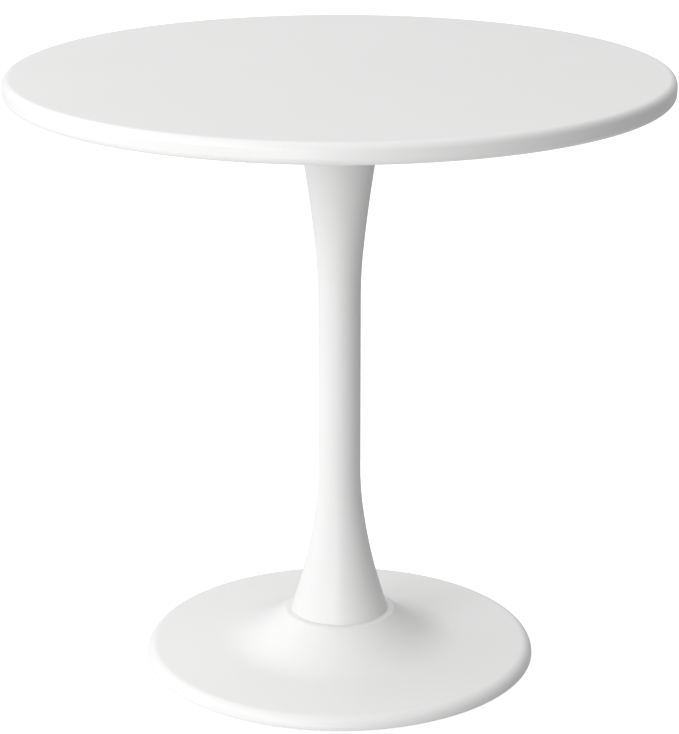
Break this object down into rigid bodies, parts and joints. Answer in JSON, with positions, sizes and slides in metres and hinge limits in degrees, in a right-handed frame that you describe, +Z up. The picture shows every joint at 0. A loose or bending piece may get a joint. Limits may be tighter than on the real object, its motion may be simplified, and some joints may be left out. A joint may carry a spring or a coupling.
{
  "type": "round pedestal table",
  "caption": "Round white dining table: a rounded-edge top on a slim trumpet column, clamped by a hidden tie rod to a low spun disc foot with levelling glides.",
  "frame": {"origin": "on the floor, on the column's axis, under the middle of the foot", "axes": "+Z up along the column; X and Y level, with the four glides on the diagonals"},
  "size_m": [0.7999, 0.8, 0.75],
  "materials": {
    "white_lacquer": "satin white lacquer on fibreboard",
    "white_powder_coat": "satin white powder coat on spun steel",
    "black_primer": "matt black coated steel",
    "zinc_plated_steel": "bright zinc plate",
    "white_nylon": "moulded nylon"
  },
  "bodies": {
    "root": {"table_top": "white_lacquer", "column_shell": "white_powder_coat", "base_shell": "white_powder_coat", "top_plate": "black_primer", "column_locating_ring": "black_primer", "column_foot_disc": "black_primer", "hub_cup": "black_primer", "ballast_plate": "black_primer", "top_plate_screws": "zinc_plated_steel", "top_plate_washers": "zinc_plated_steel", "top_inserts": "zinc_plated_steel", "tie_rod": "zinc_plated_steel", "rod_top_nut": "zinc_plated_steel", "rod_nut": "zinc_plated_steel", "rod_washer": "zinc_plated_steel", "rod_spring_washer": "zinc_plated_steel", "glide_inserts": "zinc_plated_steel"},
    "glide_1_foot": {"glide_1_foot": "white_nylon"},
    "glide_1_stem": {"glide_1_stem": "zinc_plated_steel"},
    "glide_2_foot": {"glide_2_foot": "white_nylon"},
    "glide_2_stem": {"glide_2_stem": "zinc_plated_steel"},
    "glide_3_foot": {"glide_3_foot": "white_nylon"},
    "glide_3_stem": {"glide_3_stem": "zinc_plated_steel"},
    "glide_4_foot": {"glide_4_foot": "white_nylon"},
    "glide_4_stem": {"glide_4_stem": "zinc_plated_steel"}
  },
  "joints": [
    {"name": "glide_1_travel", "type": "slide", "parent": "root", "child": "glide_1_foot", "axis": [0, 0, -1], "range_m": [0, 0.004]},
    {"name": "glide_1_turn", "type": "hinge", "parent": "glide_1_foot", "child": "glide_1_stem", "pos_m": [0.13081, 0.13081, 0], "axis": [0, 0, -1], "range_deg": [0, 960.01]},
    {"name": "glide_2_travel", "type": "slide", "parent": "root", "child": "glide_2_foot", "axis": [0, 0, -1], "range_m": [0, 0.004]},
    {"name": "glide_2_turn", "type": "hinge", "parent": "glide_2_foot", "child": "glide_2_stem", "pos_m": [-0.13081, 0.13081, 0], "axis": [0, 0, -1], "range_deg": [0, 960.01]},
    {"name": "glide_3_travel", "type": "slide", "parent": "root", "child": "glide_3_foot", "axis": [0, 0, -1], "range_m": [0, 0.004]},
    {"name": "glide_3_turn", "type": "hinge", "parent": "glide_3_foot", "child": "glide_3_stem", "pos_m": [-0.13081, -0.13081, 0], "axis": [0, 0, -1], "range_deg": [0, 960.01]},
    {"name": "glide_4_travel", "type": "slide", "parent": "root", "child": "glide_4_foot", "axis": [0, 0, -1], "range_m": [0, 0.004]},
    {"name": "glide_4_turn", "type": "hinge", "parent": "glide_4_foot", "child": "glide_4_stem", "pos_m": [0.13081, -0.13081, 0], "axis": [0, 0, -1], "range_deg": [0, 960.01]}
  ],
  "couplings": [
    {"joint": "glide_1_turn", "follows": "glide_1_travel", "rad_per_m": 4188.8},
    {"joint": "glide_2_turn", "follows": "glide_2_travel", "rad_per_m": 4188.8},
    {"joint": "glide_3_turn", "follows": "glide_3_travel", "rad_per_m": 4188.8},
    {"joint": "glide_4_turn", "follows": "glide_4_travel", "rad_per_m": 4188.8}
  ]
}
